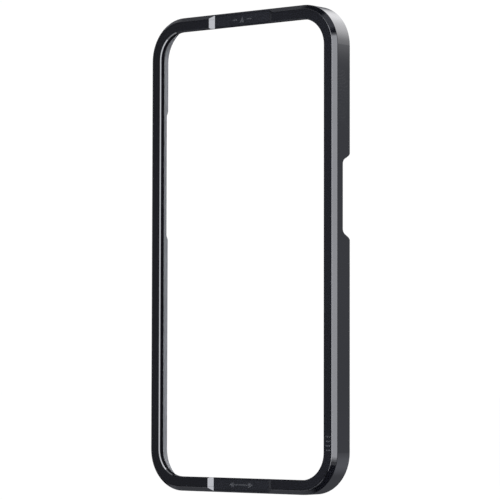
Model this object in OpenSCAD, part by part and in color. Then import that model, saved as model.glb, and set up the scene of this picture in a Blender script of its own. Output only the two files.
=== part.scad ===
// Open alignment frame that drops over the front of a phone: a chamfered shell round the edge, a flat
// front bezel bonded into it, a soft liner that grips the phone, and two marking plates.
// X runs across the width, Y from the front face to the back edge, Z along the height.
// The origin is under the middle of the bottom edge.

/* [Phone that it fits] */
// Width of the phone
phone_w = 76.7; // [60:0.1:95]
// Height of the phone
phone_h = 159.9; // [130:0.1:195]
// Corner radius of the phone, seen from the front
phone_corner_r = 11.9; // [9:0.1:16]
// Gap between the phone and the liner, each side
phone_gap = 0.2; // [0.05:0.05:0.6]

/* [Outer shell] */
// Depth of the frame from front face to back edge
frame_depth = 8.4; // [7:0.1:12]
// Thickness of the side wall
wall = 1.25; // [1:0.05:1.6]
// Size of the 45 degree chamfer round the front
chamfer = 1.4; // [0.9:0.1:1.7]
// Flat land of the shell between the chamfer and the bezel
front_land = 0.4; // [0.3:0.05:0.6]
// Width of the ledge that the bezel is bonded to
ledge_w = 1.1; // [0.7:0.1:1.3]
// Radius of the moulded outside edges
edge_r = 0.25; // [0.1:0.05:0.35]
// Broken edge round the back
back_break = 0.2; // [0.1:0.05:0.3]

/* [Front bezel] */
// Width of the front rim, from the outside wall to the window
rim_w = 4.95; // [4.3:0.05:6.5]
// Thickness of the rim that lies on the phone
rim_t = 2.0; // [1.7:0.05:3]
// Thickness of the bezel's outer step, over the ledge
step_t = 1.1; // [1.05:0.05:1.25]
// Bevel along the window's front edge
window_bevel = 0.3; // [0.1:0.05:0.5]
// Gap between pieces that drop into each other
fit_gap = 0.05; // [0.02:0.01:0.08]
// Thickness of the bonding film under the bezel
bond_t = 0.1; // [0.05:0.01:0.15]

/* [Marking recesses] */
// Length of each recess at the front face
recess_len = 27.7; // [20:0.1:34]
// Depth of each recess
recess_depth = 1.0; // [0.7:0.05:1.05]
// Length of the slope at each end of a recess
recess_ramp = 1.85; // [0.8:0.05:3]
// Thickness of the marking plates
plate_t = 0.5; // [0.3:0.05:0.6]
// Border of the recess floor left beside a plate
plate_edge = 0.5; // [0.3:0.05:0.8]
// Depth of the engraved marks
mark_depth = 0.1; // [0.05:0.05:0.2]
// Height of the marks on the plates
mark_h = 2.1; // [1.4:0.1:2.4]

/* [Soft liner] */
// Thickness of the liner
liner_t = 0.85; // [0.6:0.05:1.2]
// Wall left bare behind the liner's back edge
liner_stop = 0.6; // [0.4:0.1:1.5]
// Lead-in chamfer on the liner's back edge
liner_lead = 0.3; // [0.1:0.05:0.5]
// How much lower the liner is where it covers the volume keys
liner_dip = 1.0; // [0.3:0.1:1.2]

/* [Side key notches] */
// Wall left between the phone's front face and a notch
notch_land = 2.3; // [1.5:0.1:3]
// Run of the slope at each end of a notch
notch_run = 2.1; // [1.5:0.1:3]
// Radius where a slope meets the notch floor and the back edge
notch_r = 2.0; // [1:0.1:2.2]
// Distance from the top edge to the right notch
right_notch_top = 50.9; // [36:0.1:54]
// Length of the right notch along the back edge
right_notch_len = 28.2; // [20:0.1:36]
// Distance from the top edge to the left notch
left_notch_top = 30.9; // [24:0.1:36]
// Length of the left notch along the back edge
left_notch_len = 46.6; // [36:0.1:52]

/* [Hidden] */
$fn = 96;

past = 1;                                             // how far a cut runs past what it cuts
edge_steps = 5;                                       // steps round a small moulded edge
notch_steps = 10;                                     // steps round a corner of a notch

side_t = phone_gap + liner_t + wall;                  // phone to the outside of the shell
frame_w = phone_w + 2 * side_t;
frame_h = phone_h + 2 * side_t;
corner_r = phone_corner_r + side_t;
front_y = -frame_depth / 2;

lip_in = chamfer + front_land;                        // inset of the lip's inner wall
ledge_in = lip_in + ledge_w;                          // inset of the ledge's inner edge
ledge_front = step_t + bond_t;                        // depth of the ledge's front face
liner_in = wall + liner_t;
liner_end = frame_depth - liner_stop;
notch_floor = rim_t + notch_land;

floor_len = recess_len - 2 * recess_ramp;             // flat part of a recess floor
floor_out = chamfer - recess_depth;                   // inset where the floor meets the chamfer
plate_out = floor_out + plate_edge;                   // insets of a plate's pocket
plate_in = rim_w - plate_edge;
plate_back = recess_depth + plate_t;
plate_mid = (plate_out + plate_in) / 2;

bar_t = 0.45;                                         // line width of the engraved marks
tick_pitch = 1.5;                                     // spacing of the ticks on the side bar
tick_count = 4;
tick_len = 1.9;
tick_bottom = 15.1;                                   // height of the lowest tick
tick_mid = 2.9;                                       // inset of the ticks' middle

// ---- outlines: points are [inset from the outside wall, depth from the front face, edge radius] ----

function unit(a) = a / norm(a);
function flat2(p) = [p.x, p.y];

// points of an arc of radius r in the corner a-b-c
function corner_arc(a, b, c, r, steps) =
    let (to_a = unit(a - b), to_c = unit(c - b), half = acos(to_a * to_c) / 2,
         centre = b + unit(to_a + to_c) * r / sin(half),
         start = b + to_a * r / tan(half) - centre,
         end = b + to_c * r / tan(half) - centre,
         turn = (cross(start, end) > 0 ? 1 : -1) * (180 - 2 * half))
    [for (i = [0:steps])
        let (g = turn * i / steps)
        centre + [start.x * cos(g) - start.y * sin(g), start.x * sin(g) + start.y * cos(g)]];

// an outline with its sharp corners replaced by arcs
function rounded(points, steps) =
    let (n = len(points))
    [for (i = [0:n - 1])
        let (a = points[(i + n - 1) % n], b = points[i], c = points[(i + 1) % n])
        each b[2] > 0 ? corner_arc(flat2(a), flat2(b), flat2(c), b[2], steps) : [flat2(b)]];

shell_outline = [
    [0, chamfer, edge_r],
    [chamfer, 0, edge_r],
    [lip_in, 0, 0],
    [lip_in, ledge_front, 0],
    [ledge_in, ledge_front, 0],
    [ledge_in, rim_t, 0],
    [wall, rim_t, 0],
    [wall, frame_depth - back_break, 0],
    [wall - back_break, frame_depth, 0],
    [back_break, frame_depth, 0],
    [0, frame_depth - back_break, 0]];

bezel_outline = [
    [lip_in + fit_gap, 0, 0],
    [rim_w - window_bevel, 0, 0],
    [rim_w, window_bevel, 0],
    [rim_w, rim_t, 0],
    [ledge_in + fit_gap, rim_t, 0],
    [ledge_in + fit_gap, step_t, 0],
    [lip_in + fit_gap, step_t, 0]];

bond_outline = [
    [lip_in + fit_gap, step_t, 0],
    [ledge_in, step_t, 0],
    [ledge_in, ledge_front, 0],
    [lip_in + fit_gap, ledge_front, 0]];

liner_outline = [
    [wall, rim_t, 0],
    [liner_in, rim_t, 0],
    [liner_in, liner_end - liner_lead, 0],
    [liner_in - liner_lead, liner_end, 0],
    [wall, liner_end, 0]];

// ---- shared shapes ----

// sweeps an outline round the rounded rectangle of the frame
module frame_sweep(outline) {
    points = rounded(outline, edge_steps);
    side_len = frame_h - 2 * corner_r;
    end_len = frame_w - 2 * corner_r;
    for (side = [0, 1]) mirror([side, 0, 0]) {
        translate([0, 0, corner_r])
            linear_extrude(side_len)
                polygon([for (p = points) [frame_w / 2 - p.x, front_y + p.y]]);
        for (top = [0, 1])
            translate([frame_w / 2 - corner_r, 0, top ? frame_h - corner_r : corner_r])
                rotate([-90, 0, 0])
                    rotate([0, 0, top ? -90 : 0])
                        rotate_extrude(angle = 90)
                            polygon([for (p = points) [corner_r - p.x, front_y + p.y]]);
    }
    for (top = [0, 1])
        translate([-end_len / 2, 0, 0])
            rotate([0, 90, 0])
                linear_extrude(end_len)
                    polygon([for (p = points) [top ? p.x - frame_h : -p.x, front_y + p.y]]);
}

// places its child, drawn on the bottom bar, at the bottom or turned over onto the top bar
module at_bar(top) {
    if (top) translate([0, 0, frame_h]) mirror([0, 0, 1]) children();
    else children();
}

// the sloped recess across one bar, as the space it takes out
module recess_cut() {
    half = recess_len / 2;
    lean = recess_ramp / recess_depth;
    translate([0, 0, -past])
        linear_extrude(rim_w + 2 * past)
            polygon([
                [-half - lean * past, front_y - past],
                [half + lean * past, front_y - past],
                [half - recess_ramp, front_y + recess_depth],
                [-half + recess_ramp, front_y + recess_depth]]);
}

// a block on the bottom bar, from inset a to inset b and from depth c to depth d
module bar_block(length, a, b, c, d) {
    translate([-length / 2, front_y + c, a])
        cube([length, d - c, b - a]);
}

// both recesses, with the pockets that the plates sit in
module recess_space() {
    for (top = [false, true]) at_bar(top) {
        recess_cut();
        bar_block(floor_len, plate_out, plate_in, recess_depth - past / 4, plate_back);
    }
}

// outline of a notch with sloped ends, [height, depth, corner radius], cut in from the back
function notch_outline(top, length, floor_depth, edge_depth) =
    let (high = frame_h - top, low = high - length)
    [[low - 2 * notch_r, edge_depth + past, 0],
     [low - 2 * notch_r, edge_depth, 0],
     [low, edge_depth, notch_r],
     [low + notch_run, floor_depth, notch_r],
     [high - notch_run, floor_depth, notch_r],
     [high, edge_depth, notch_r],
     [high + 2 * notch_r, edge_depth, 0],
     [high + 2 * notch_r, edge_depth + past, 0]];

// the space of a notch in the right wall
module notch_space(top, length, floor_depth, edge_depth) {
    points = rounded(notch_outline(top, length, floor_depth, edge_depth), notch_steps);
    translate([frame_w / 2 - liner_in - past, 0, 0])
        rotate([0, 90, 0])
            linear_extrude(liner_in + 2 * past)
                polygon([for (p = points) [-p.x, front_y + p.y]]);
}

module right_notch() {
    notch_space(right_notch_top, right_notch_len, notch_floor, frame_depth);
}

module left_notch() {
    mirror([1, 0, 0]) notch_space(left_notch_top, left_notch_len, notch_floor, frame_depth);
}

// where the liner runs lower over the volume keys
module liner_dip_space() {
    mirror([1, 0, 0]) notch_space(left_notch_top, left_notch_len, liner_end - liner_dip, liner_end);
}

// raises a mark, drawn in X and Z, into a thin block that engraves the face at a given depth
module engrave(face_depth) {
    translate([0, front_y + face_depth + mark_depth, 0])
        rotate([90, 0, 0])
            linear_extrude(mark_depth + past / 4)
                children();
}

// an upward arrowhead between two short bars
module up_mark() {
    half = mark_h / 2;
    polygon([[-half, -half], [half, -half], [0, half]]);
    for (side = [-1, 1])
        translate([side * 1.5 * mark_h, 0])
            square([mark_h, bar_t], center = true);
}

// a line with an arrowhead at each end
module span_mark() {
    half = mark_h / 2;
    reach = 2.5 * mark_h;
    square([2 * reach - mark_h, bar_t], center = true);
    for (side = [0, 1]) mirror([side, 0])
        polygon([[reach - mark_h, -half], [reach, 0], [reach - mark_h, half]]);
}

// a row of short ticks on the right side bar
module side_ticks() {
    for (i = [0:tick_count - 1])
        translate([frame_w / 2 - tick_mid, tick_bottom + i * tick_pitch])
            square([tick_len, bar_t], center = true);
}

module plate(top) {
    at_bar(top)
        bar_block(floor_len - 2 * fit_gap, plate_out + fit_gap, plate_in - fit_gap,
                  recess_depth, plate_back);
}

// ---- the pieces ----

module outer_shell() {
    color("#202124")
        difference() {
            frame_sweep(shell_outline);
            recess_space();
            right_notch();
            left_notch();
        }
}

module front_bezel() {
    color("#1c1d20")
        difference() {
            frame_sweep(bezel_outline);
            recess_space();
            engrave(0) side_ticks();
        }
}

module bezel_bond() {
    color("#c9cdd2")
        difference() {
            frame_sweep(bond_outline);
            for (top = [false, true]) at_bar(top)
                bar_block(recess_len, 0, rim_w, 0, rim_t);
        }
}

module soft_liner() {
    color("#77787d")
        difference() {
            frame_sweep(liner_outline);
            right_notch();
            liner_dip_space();
        }
}

module top_plate() {
    color("#26282d")
        difference() {
            plate(true);
            engrave(recess_depth) translate([0, frame_h - plate_mid]) up_mark();
        }
}

module bottom_plate() {
    color("#26282d")
        difference() {
            plate(false);
            engrave(recess_depth) translate([0, plate_mid]) span_mark();
        }
}

outer_shell();
front_bezel();
bezel_bond();
soft_liner();
top_plate();
bottom_plate();
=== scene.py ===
"""Looks for the phone alignment frame: materials, soft studio light, floor and camera."""

import math

import bpy
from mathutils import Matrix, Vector


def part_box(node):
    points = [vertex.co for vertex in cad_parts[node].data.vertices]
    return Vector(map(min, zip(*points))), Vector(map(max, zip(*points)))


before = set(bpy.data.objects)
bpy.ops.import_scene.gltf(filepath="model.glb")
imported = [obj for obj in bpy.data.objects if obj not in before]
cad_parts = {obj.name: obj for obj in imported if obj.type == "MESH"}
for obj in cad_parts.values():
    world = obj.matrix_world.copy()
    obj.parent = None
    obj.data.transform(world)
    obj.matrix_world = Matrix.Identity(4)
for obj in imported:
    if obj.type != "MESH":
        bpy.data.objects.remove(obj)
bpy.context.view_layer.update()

# ---- sizes of the frame, in metres ----
MM = 0.001
SHELL_LO, SHELL_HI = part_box("outer_shell")
PLATE_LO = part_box("top_plate")[0]
WIDTH = SHELL_HI.x - SHELL_LO.x
DEPTH = SHELL_HI.y - SHELL_LO.y
HEIGHT = SHELL_HI.z - SHELL_LO.z
CORNER_R = 14.2 * MM                       # outside corner radius, seen from the front
CHAMFER = 1.4 * MM
RIM_W = 4.95 * MM                          # from the outside wall to the window
BEVEL = 0.3 * MM                           # along the window's front edge
RECESS_HALF = 13.9 * MM                    # half the length of a marking recess
RECESS_DEPTH = PLATE_LO.y - SHELL_LO.y
FRONT_CENTRE = Vector((0, SHELL_LO.y, HEIGHT / 2))

# ---- colours, linear ----
WHITE = (1.0, 1.0, 1.0, 1.0)
BLACK_DEEP = (0.0014, 0.0015, 0.0021, 1.0)
BLACK_PALE = (0.0019, 0.0020, 0.0028, 1.0)
BLACK_RECESS = (0.0025, 0.0027, 0.0037, 1.0)
RUBBED = (0.008, 0.0083, 0.0092, 1.0)
DUST = (0.03, 0.03, 0.03, 1.0)
INK_WORN = (0.0048, 0.0053, 0.0065, 1.0)
INK = (0.0078, 0.0086, 0.0104, 1.0)
PLATE_DEEP = (0.0023, 0.0026, 0.0036, 1.0)
PLATE_PALE = (0.0028, 0.0031, 0.0042, 1.0)
PLATE_SPARK = (0.0052, 0.0056, 0.0070, 1.0)
LINER_DEEP = (0.100, 0.103, 0.108, 1.0)
LINER_PALE = (0.118, 0.121, 0.126, 1.0)
# painted shade for the liner: a darker colour towards the top that stands in for weaker light
# there
LINER_PAINTED_SHADE = (0.072, 0.074, 0.077, 1.0)
LINER_SCUFF = (0.18, 0.183, 0.190, 1.0)
LINER_PIT = (0.08, 0.082, 0.088, 1.0)
FILM_BUBBLE = (0.72, 0.74, 0.76, 1.0)
FILM_CLEAR = (0.52, 0.55, 0.58, 1.0)
FLOOR_MATT = (0.02, 0.02, 0.02, 1.0)
CARD_BLACK = (0.004, 0.004, 0.004, 1.0)
STUDIO_TINT = (0.95, 0.98, 1.10, 1.0)
UPPER_TINT = (1.0, 0.995, 1.01, 1.0)
PANEL_TINT = (0.97, 0.985, 1.05)

# ---- surface, in the units of the shader's sockets ----
GLOSS_IOR = 1.5
GLOSS_ROUGH = 0.05
RUBBED_ROUGH = 0.06                        # added on rubbed edges
SCRATCH_ROUGH = 0.04                       # added on hairlines
SMEAR_ROUGH = 0.025
PRINT_ROUGH = 0.04
INK_ROUGH = 0.35
PLATE_ROUGH = 0.11
GRAIN_ROUGH = 0.10                         # the plate's grain, times its height
LINER_ROUGH = 0.52
LINER_SHEEN = 0.08
GLOSS_BUMP = 0.0008 * MM                   # orange peel and hairlines
PLATE_BUMP = 0.006 * MM
LINER_BUMP = 0.01 * MM
RUBBED_WIDTH = 0.2                         # of a rubbed edge, in millimetres


# ---- a short way to write node graphs ----

class Graph:
    """Adds nodes to a tree and joins them. Inputs are sockets or plain values."""

    def __init__(self, tree):
        self.tree = tree

    def node(self, kind, inputs=None, **settings):
        made = self.tree.nodes.new(kind)
        for name, value in settings.items():
            setattr(made, name, value)
        for key, value in (inputs or {}).items():
            self.plug(made.inputs[key], value)
        return made

    def plug(self, socket, value):
        if isinstance(value, bpy.types.NodeSocket):
            self.tree.links.new(value, socket)
        else:
            socket.default_value = value

    def math(self, operation, a, b=0.0, clamp=False):
        made = self.node("ShaderNodeMath", {0: a, 1: b}, operation=operation, use_clamp=clamp)
        return made.outputs[0]

    def vector(self, operation, a, b=(0, 0, 0)):
        made = self.node("ShaderNodeVectorMath", {0: a, 1: b}, operation=operation)
        return made.outputs["Value" if operation in ("DOT_PRODUCT", "LENGTH") else "Vector"]

    def ease(self, value, start, end, low=0.0, high=1.0):
        """A smooth step: low at start, high at end."""
        made = self.node("ShaderNodeMapRange", {"Value": value, "From Min": start, "From Max": end,
                                                "To Min": low, "To Max": high},
                         interpolation_type="SMOOTHSTEP")
        return made.outputs["Result"]

    def mix(self, factor, a, b):
        """Blends two colours."""
        made = self.node("ShaderNodeMix", data_type="RGBA")
        self.plug(made.inputs[0], factor)
        self.plug(made.inputs[6], a)
        self.plug(made.inputs[7], b)
        return made.outputs[2]

    def noise(self, where, scale, detail=3.0, roughness=0.5, distortion=0.0):
        made = self.node("ShaderNodeTexNoise", {"Vector": where, "Scale": scale, "Detail": detail,
                                                "Roughness": roughness, "Distortion": distortion})
        return made.outputs[0]

    def stretch(self, where, size, turn=(0, 0, 0)):
        """Coordinates scaled, and turned by Euler angles, for streaks."""
        made = self.node("ShaderNodeMapping", {"Vector": where, "Rotation": turn, "Scale": size})
        return made.outputs[0]

    def bump(self, height, distance, strength=1.0, normal=None):
        made = self.node("ShaderNodeBump", {"Height": height, "Distance": distance,
                                            "Strength": strength})
        if normal is not None:
            self.plug(made.inputs["Normal"], normal)
        return made.outputs[0]


def split(g, vector):
    return g.node("ShaderNodeSeparateXYZ", {0: vector}).outputs


def frame_group():
    """Node group: where a point is across the frame. Inset is its distance in from the outside
    wall, and Depth its distance behind the front face, both in millimetres."""
    tree = bpy.data.node_groups.new("frame_coordinates", "ShaderNodeTree")
    for name in ("Inset", "Depth"):
        tree.interface.new_socket(name, in_out="OUTPUT", socket_type="NodeSocketFloat")
    g = Graph(tree)
    x, y, z = split(g, g.node("ShaderNodeTexCoord").outputs["Object"])
    across = g.math("SUBTRACT", g.math("ABSOLUTE", x), WIDTH / 2 - CORNER_R)
    along = g.math("SUBTRACT", g.math("ABSOLUTE", g.math("SUBTRACT", z, HEIGHT / 2)),
                   HEIGHT / 2 - CORNER_R)
    corner = g.node("ShaderNodeCombineXYZ", {0: g.math("MAXIMUM", across, 0.0),
                                             1: g.math("MAXIMUM", along, 0.0)}).outputs[0]
    inside = g.math("MINIMUM", g.math("MAXIMUM", across, along), 0.0)
    reach = g.math("ADD", g.vector("LENGTH", corner), inside)
    inset = g.math("MULTIPLY", g.math("SUBTRACT", CORNER_R, reach), 1 / MM)
    depth = g.math("MULTIPLY", g.math("SUBTRACT", y, SHELL_LO.y), 1 / MM)
    out = g.node("NodeGroupOutput")
    g.plug(out.inputs["Inset"], inset)
    g.plug(out.inputs["Depth"], depth)
    return tree


FRAME_GROUP = frame_group()


def frame_coordinates(g):
    made = g.node("ShaderNodeGroup", node_tree=FRAME_GROUP)
    return made.outputs["Inset"], made.outputs["Depth"]


def near_edge(g, inset, depth, edge, width):
    """1 on the edge at (inset, depth) millimetres, falling to 0 at width millimetres from it."""
    across = g.math("SUBTRACT", inset, edge[0])
    back = g.math("SUBTRACT", depth, edge[1])
    gap = g.math("SQRT", g.math("ADD", g.math("MULTIPLY", across, across),
                                g.math("MULTIPLY", back, back)))
    return g.ease(gap, 0.0, width, 1.0, 0.0)


def new_material(name):
    made = bpy.data.materials.new(name)
    made.use_nodes = True
    made.node_tree.nodes.clear()
    g = Graph(made.node_tree)
    shader = g.node("ShaderNodeBsdfPrincipled")
    out = g.node("ShaderNodeOutputMaterial")
    g.plug(out.inputs["Surface"], shader.outputs[0])
    return made, g, shader


def place(g):
    return g.node("ShaderNodeTexCoord").outputs["Object"]


def handling(g, where):
    """Roughness added by hands: soft smears, with the ridges of fingerprints in a few of them."""
    smear = g.ease(g.noise(where, 55.0, 4.0, 0.6, 0.6), 0.5, 0.68)
    patch = g.ease(g.noise(g.vector("ADD", where, (0.31, 0.12, 0.57)), 48.0, 2.0), 0.56, 0.64)
    sway = g.node("ShaderNodeTexNoise", {"Vector": where, "Scale": 90.0}).outputs["Color"]
    swirl = g.vector("ADD", where, g.vector("MULTIPLY", sway, (0.008, 0.008, 0.008)))
    ridges = g.node("ShaderNodeTexWave", {"Vector": swirl, "Scale": 340.0, "Distortion": 2.0},
                    wave_type="RINGS", rings_direction="SPHERICAL").outputs["Fac"]
    prints = g.math("MULTIPLY", patch, g.ease(ridges, 0.35, 0.8))
    return g.math("ADD", g.math("MULTIPLY", smear, SMEAR_ROUGH),
                  g.math("MULTIPLY", prints, PRINT_ROUGH))


def hairlines(g, where):
    """1 on fine handling scratches in two directions, 0 between them, 2 where they cross."""
    lines = 0.0
    for turn, size in (((0.3, 0.5, 0.2), (60, 60, 2600)), ((0.9, -0.4, 1.1), (2400, 70, 80))):
        streak = g.noise(g.stretch(where, size, turn), 1.0, 1.0)
        lines = g.math("ADD", lines, g.ease(streak, 0.72, 0.78))
    return lines


def facing_front(g):
    """1 on surfaces that face the front, 0 elsewhere."""
    normal = g.node("ShaderNodeNewGeometry").outputs["Normal"]
    return g.math("LESS_THAN", split(g, normal)[1], -0.95)


def recess_floor(g, where, depth):
    """1 on the floors of the two marking recesses, outside the plates. Depths in millimetres."""
    near = g.math("LESS_THAN", g.math("ABSOLUTE", split(g, where)[0]), RECESS_HALF)
    deep = g.math("MULTIPLY", g.ease(depth, 0.90, 0.96), g.ease(depth, 1.04, 1.10, 1.0, 0.0))
    return g.math("MULTIPLY", g.math("MULTIPLY", near, deep), facing_front(g))


def gloss_black(name, edges):
    """Polished black moulding: faint orange peel, smears and prints, hairlines, rubbed edges."""
    made, g, shader = new_material(name)
    where = place(g)
    inset, depth = frame_coordinates(g)
    rubbed = 0.0
    for edge in edges:
        rubbed = g.math("MAXIMUM", rubbed, near_edge(g, inset, depth, edge, RUBBED_WIDTH))
    patchy = g.ease(g.noise(where, 90.0, 4.0, 0.6), 0.5, 0.7)
    rubbed = g.math("MULTIPLY", rubbed, patchy)
    cloud = g.ease(g.noise(where, 38.0, 3.0), 0.3, 0.7)
    colour = g.mix(cloud, BLACK_DEEP, BLACK_PALE)
    colour = g.mix(recess_floor(g, where, depth), colour, BLACK_RECESS)
    specks = g.node("ShaderNodeTexVoronoi", {"Vector": where, "Scale": 520.0, "Randomness": 1.0})
    dust = g.math("MULTIPLY", g.ease(specks.outputs["Distance"], 0.03, 0.09, 1.0, 0.0),
                  g.ease(split(g, specks.outputs["Color"])[0], 0.95, 0.97))
    colour = g.mix(g.math("MULTIPLY", rubbed, 0.25), colour, RUBBED)
    colour = g.mix(g.math("MULTIPLY", dust, 0.4), colour, DUST)
    scratches = hairlines(g, where)
    rough = g.math("ADD", GLOSS_ROUGH, handling(g, where))
    rough = g.math("ADD", rough, g.math("MULTIPLY", rubbed, RUBBED_ROUGH))
    rough = g.math("ADD", rough, g.math("MULTIPLY", scratches, SCRATCH_ROUGH), clamp=True)
    peel = g.bump(g.noise(where, 160.0, 2.0), GLOSS_BUMP, 0.5)
    normal = g.bump(scratches, GLOSS_BUMP, 0.3, peel)
    g.plug(shader.inputs["Base Color"], colour)
    g.plug(shader.inputs["Roughness"], rough)
    g.plug(shader.inputs["Normal"], normal)
    shader.inputs["IOR"].default_value = GLOSS_IOR
    return made, g, shader, (inset, depth)


def inked(g, shader, depth, level):
    """Paints the floors of marks engraved 0.1 mm below the given depth, in millimetres."""
    floor = g.math("MULTIPLY", g.ease(depth, level + 0.07, level + 0.09),
                   g.ease(depth, level + 0.13, level + 0.11))
    floor = g.math("MULTIPLY", floor, facing_front(g))
    link = shader.inputs["Base Color"].links[0].from_socket
    worn = g.ease(g.noise(place(g), 2600.0, 3.0), 0.25, 0.5, 0.75, 1.0)
    ink = g.mix(worn, INK_WORN, INK)
    g.plug(shader.inputs["Base Color"], g.mix(floor, link, ink))
    rough = shader.inputs["Roughness"].links[0].from_socket
    g.plug(shader.inputs["Roughness"],
           g.math("ADD", rough, g.math("MULTIPLY", floor, INK_ROUGH), clamp=True))


def shell_material():
    edges = [(0.0, CHAMFER / MM), (CHAMFER / MM, 0.0), (0.0, DEPTH / MM)]
    return gloss_black("gloss_black_shell", edges)[0]


def bezel_material():
    edges = [(RIM_W / MM, BEVEL / MM), ((RIM_W - BEVEL) / MM, 0.0)]
    made, g, shader, (inset, depth) = gloss_black("gloss_black_bezel", edges)
    inked(g, shader, depth, 0.0)
    return made


def plate_material():
    """Satin blue-black plate: fine spark-eroded grain, with grey paint in the marks."""
    made, g, shader = new_material("satin_plate")
    where = place(g)
    depth = frame_coordinates(g)[1]
    grain = g.noise(where, 5200.0, 2.0)
    cloud = g.noise(where, 120.0, 3.0)
    colour = g.mix(g.ease(cloud, 0.3, 0.7), PLATE_DEEP, PLATE_PALE)
    colour = g.mix(g.ease(grain, 0.6, 0.75), colour, PLATE_SPARK)
    rough = g.math("ADD", PLATE_ROUGH, g.math("MULTIPLY", grain, GRAIN_ROUGH))
    g.plug(shader.inputs["Base Color"], colour)
    g.plug(shader.inputs["Roughness"], g.math("ADD", rough, handling(g, where), clamp=True))
    g.plug(shader.inputs["Normal"], g.bump(grain, PLATE_BUMP, 0.6))
    inked(g, shader, depth, RECESS_DEPTH / MM)
    return made


def liner_material():
    """Soft grey rubber: matt, finely pebbled, with painted shade darkening it towards the top,
    paler scuffs and dark pits.
    """
    made, g, shader = new_material("soft_grey_rubber")
    where = place(g)
    pebble = g.node("ShaderNodeTexVoronoi", {"Vector": where, "Scale": 3400.0}).outputs["Distance"]
    fine = g.noise(where, 9000.0, 2.0)
    cloud = g.noise(where, 46.0, 4.0, 0.6)
    # painted shade: the rubber darkens with height to stand in for less light near the top; the
    # rubber's own colour does not change there
    painted_shade_above = g.ease(split(g, where)[2], 0.02, 0.09)
    scuff = g.ease(g.noise(g.stretch(where, (300, 300, 28)), 1.0, 5.0, 0.7), 0.56, 0.72)
    colour = g.mix(g.ease(cloud, 0.25, 0.75), LINER_DEEP, LINER_PALE)
    colour = g.mix(g.math("MULTIPLY", painted_shade_above, 0.55), colour, LINER_PAINTED_SHADE)
    colour = g.mix(g.math("MULTIPLY", scuff, 0.2), colour, LINER_SCUFF)
    colour = g.mix(g.ease(pebble, 0.55, 0.95, 0.0, 0.2), colour, LINER_PIT)
    height = g.math("ADD", g.math("MULTIPLY", pebble, -0.7), g.math("MULTIPLY", fine, 0.3))
    g.plug(shader.inputs["Base Color"], colour)
    g.plug(shader.inputs["Roughness"], g.math("ADD", LINER_ROUGH, g.math("MULTIPLY", fine, 0.16)))
    g.plug(shader.inputs["Normal"], g.bump(height, LINER_BUMP, 0.5))
    shader.inputs["Sheen Weight"].default_value = LINER_SHEEN
    return made


def bond_material():
    """Thin clear-grey bonding film, with small air marks."""
    made, g, shader = new_material("bond_film")
    cells = g.node("ShaderNodeTexVoronoi", {"Vector": place(g), "Scale": 1500.0})
    bubbles = cells.outputs["Distance"]
    colour = g.mix(g.ease(bubbles, 0.05, 0.25), FILM_BUBBLE, FILM_CLEAR)
    g.plug(shader.inputs["Base Color"], colour)
    g.plug(shader.inputs["Roughness"], g.ease(bubbles, 0.1, 0.6, 0.25, 0.45))
    return made


def dress(node, material):
    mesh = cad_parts[node].data
    mesh.materials.clear()
    mesh.materials.append(material)


# ---- stage, light and camera ----

# Soft panels ahead of the frame, facing it: name, left, right, low and high edge, distance ahead,
# radiance. Lengths are in metres from the middle of the front. The near left one has two wings,
# and the right one fades at its ends. No panel hides another, so they must not overlap as seen
# in the gloss.
FRONT_PANELS = [
    ("key_left", 0.045, 0.150, -0.125, 0.175, 0.130, 12.5),
    ("key_wing_low", 0.015, 0.045, -0.125, -0.098, 0.130, 12.5),
    ("key_wing_high", 0.015, 0.045, 0.105, 0.175, 0.130, 12.5),
    ("key_far", 0.080, 0.125, -0.125, 0.165, 0.372, 12.5),
    ("key_right", 0.150, 0.245, -0.108, 0.163, 0.130, 6.6),
    ("fade_low_1", 0.150, 0.245, -0.124, -0.108, 0.130, 4.4),
    ("fade_low_2", 0.150, 0.245, -0.142, -0.124, 0.130, 2.2),
    ("fade_low_3", 0.150, 0.245, -0.172, -0.142, 0.130, 0.8),
    ("fade_high_1", 0.150, 0.245, 0.163, 0.171, 0.130, 4.6),
    ("fade_high_2", 0.150, 0.245, 0.171, 0.182, 0.130, 2.2),
    ("fade_high_3", 0.150, 0.245, 0.182, 0.194, 0.130, 0.8),
]

# Panels that lie flat, one below and one above: name, centre, size, turn, radiance.
FLAT_PANELS = [
    ("low_fill", (-0.047, -0.097, -0.125), (0.145, 0.075), (180, 0, 0), 4.2),
    ("high_fill", (-0.045, -0.097, 0.135), (0.150, 0.070), (0, 0, 0), 2.6),
]

# Weak round patches of the studio: direction, cosine at the rim, cosine where full, radiance.
PATCHES = [
    ((-0.73, 0.27, 0.63), 0.91, 0.965, 0.26),      # above left
    ((-0.63, 0.02, -0.78), 0.85, 0.97, 0.42),      # below left
    ((-0.62, -0.78, 0.05), 0.90, 0.99, 0.19),      # front left
    ((-0.90, -0.43, 0.0), 0.91, 0.98, 0.90),       # left
    ((1.0, -0.05, 0.0), 0.86, 0.97, 0.45),         # right
    ((0.38, -0.40, 0.83), 0.927, 0.98, 0.80),      # above front
]

ROOM_GLOW = 0.03                           # radiance of the rest of the studio
BACKDROP_GLOW = 1.02                       # radiance that the camera sees behind the object
FLOOR_GLOW = 0.99
FLOOR_HALF = 6.0                           # half the floor's side, in metres
CAMERA_AT = Vector((0.56133, -0.69684, -0.04456))      # from the middle of the front
CAMERA_TURN = (92.8725, -0.1176, 38.619)               # Euler angles in degrees
CAMERA_LENS = 189.15                                   # in millimetres, on a 36 mm sensor


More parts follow.
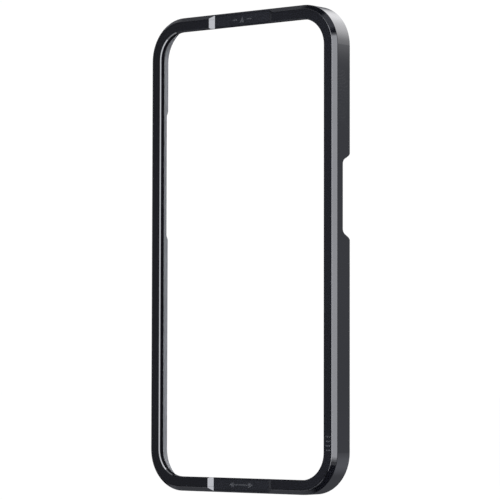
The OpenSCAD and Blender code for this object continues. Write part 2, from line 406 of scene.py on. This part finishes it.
def build_floor():
    """A wide pale floor that only the camera sees, so that the gloss reflects the studio alone."""
    far = FLOOR_HALF
    floor = flat_sheet("floor", [(-far, -far, 0), (far, -far, 0), (far, far, 0), (-far, far, 0)])
    made = bpy.data.materials.new("pale_floor")
    made.use_nodes = True
    made.node_tree.nodes.clear()
    g = Graph(made.node_tree)
    glow = g.node("ShaderNodeEmission", {"Color": WHITE, "Strength": FLOOR_GLOW})
    matt = g.node("ShaderNodeBsdfDiffuse", {"Color": FLOOR_MATT})
    both = g.node("ShaderNodeAddShader", {0: glow.outputs[0], 1: matt.outputs[0]})
    out = g.node("ShaderNodeOutputMaterial")
    g.plug(out.inputs["Surface"], both.outputs[0])
    floor.data.materials.append(made)
    floor.visible_diffuse = floor.visible_glossy = floor.visible_transmission = False
    floor.visible_shadow = False


def build_dark_card():
    """A black card behind the window, unseen by the camera, that keeps the window's left wall
    dark."""
    back = FRONT_CENTRE.y + 0.055
    left, right = -0.065, 0.045
    low, high = HEIGHT / 2 - 0.088, HEIGHT / 2 + 0.092
    card = flat_sheet("dark_card", [(left, back, low), (right, back, low), (right, back, high),
                                    (left, back, high)])
    made = bpy.data.materials.new("black_card")
    made.use_nodes = True
    shader = made.node_tree.nodes["Principled BSDF"]
    shader.inputs["Base Color"].default_value = CARD_BLACK
    shader.inputs["Roughness"].default_value = 1.0
    card.data.materials.append(made)
    card.visible_camera = card.visible_shadow = False


def flat_sheet(name, corners):
    """A one-face mesh that belongs to the stage."""
    mesh = bpy.data.meshes.new(name)
    mesh.from_pydata(corners, [], [tuple(range(len(corners)))])
    sheet = bpy.data.objects.new(name, mesh)
    bpy.context.scene.collection.objects.link(sheet)
    return sheet


def build_world():
    """White for the camera. For reflections a dim studio: a band behind the object, brighter just
    below and weak further round, a neutral bright part above, and weak patches all round."""
    world = bpy.data.worlds.new("studio")
    bpy.context.scene.world = world
    world.use_nodes = True
    world.node_tree.nodes.clear()
    g = Graph(world.node_tree)
    way = g.node("ShaderNodeTexCoord").outputs["Generated"]
    x, y, z = split(g, way)
    turn = g.math("DEGREES", g.math("ARCTAN2", z, x))        # 0 to the right, 90 straight up
    under = g.math("MULTIPLY", turn, -1.0)
    above = g.math("ADD", g.math("MULTIPLY", g.ease(turn, 11.6, 12.4), 1.15),
                   g.math("MULTIPLY", g.ease(turn, 8.0, 58.0), 2.95))
    above = g.math("MULTIPLY", above, g.ease(turn, 88.0, 150.0, 1.0, 0.0))
    above = g.math("MULTIPLY", above, g.ease(y, 0.1, 0.4))
    below = g.math("MULTIPLY", g.ease(under, -2.0, 22.0), g.ease(under, 36.0, 72.0, 1.0, 0.0))
    band = g.ease(g.math("ABSOLUTE", turn), 60.0, 160.0, 0.56, 0.15)
    band = g.math("SUBTRACT", band, g.ease(under, 40.0, 80.0, 0.0, 0.15))
    band = g.math("ADD", band, g.ease(under, 100.0, 136.0, 0.0, 0.04))
    band = g.math("ADD", band, g.math("MULTIPLY", below, 0.55))
    glow = g.math("ADD", ROOM_GLOW, g.math("MULTIPLY", g.ease(y, 0.5, 0.72), band))
    for direction, rim, full, radiance in PATCHES:
        cosine = g.vector("DOT_PRODUCT", way, Vector(direction).normalized())
        glow = g.math("ADD", glow, g.math("MULTIPLY", g.ease(cosine, rim, full), radiance))
    seen = g.node("ShaderNodeLightPath").outputs["Is Camera Ray"]
    unseen = g.math("SUBTRACT", 1.0, seen)
    strength = g.math("ADD", g.math("MULTIPLY", glow, unseen),
                      g.math("MULTIPLY", seen, BACKDROP_GLOW))
    tone = g.mix(seen, STUDIO_TINT, WHITE)
    neutral = g.math("MULTIPLY", above, unseen)
    low_part = g.node("ShaderNodeBackground", {"Color": tone, "Strength": strength})
    high_part = g.node("ShaderNodeBackground", {"Color": UPPER_TINT, "Strength": neutral})
    back = g.node("ShaderNodeAddShader", {0: low_part.outputs[0], 1: high_part.outputs[0]})
    out = g.node("ShaderNodeOutputWorld")
    g.plug(out.inputs["Surface"], back.outputs[0])


def add_softbox(name, centre, size, turn, radiance):
    """A soft panel close to the frame. Its centre is in metres from the middle of the front."""
    data = bpy.data.lights.new(name, "AREA")
    data.shape = "RECTANGLE"
    data.size, data.size_y = size
    data.energy = radiance * math.pi * size[0] * size[1]
    data.color = PANEL_TINT
    light = bpy.data.objects.new(name, data)
    bpy.context.scene.collection.objects.link(light)
    light.location = FRONT_CENTRE + Vector(centre)
    light.rotation_euler = [math.radians(angle) for angle in turn]
    light.visible_camera = False


def build_camera():
    """The viewing angle: from front right, a little below the middle, tilted slightly up."""
    data = bpy.data.cameras.new("camera")
    data.sensor_width = 36.0
    data.lens = CAMERA_LENS
    camera = bpy.data.objects.new("camera", data)
    bpy.context.scene.collection.objects.link(camera)
    camera.location = FRONT_CENTRE + CAMERA_AT
    camera.rotation_euler = [math.radians(angle) for angle in CAMERA_TURN]
    data.clip_start, data.clip_end = 0.05, 30.0
    bpy.context.scene.camera = camera


dress("outer_shell", shell_material())
dress("front_bezel", bezel_material())
dress("soft_liner", liner_material())
dress("bezel_bond", bond_material())
PLATE = plate_material()
dress("top_plate", PLATE)
dress("bottom_plate", PLATE)

build_floor()
build_dark_card()
build_world()
for name, left, right, low, high, ahead, radiance in FRONT_PANELS:
    add_softbox(name, ((left + right) / 2, -ahead, (low + high) / 2), (right - left, high - low),
                (90, 0, 0), radiance)
for panel in FLAT_PANELS:
    add_softbox(*panel)
build_camera()
bpy.context.scene.view_settings.view_transform = "Standard"
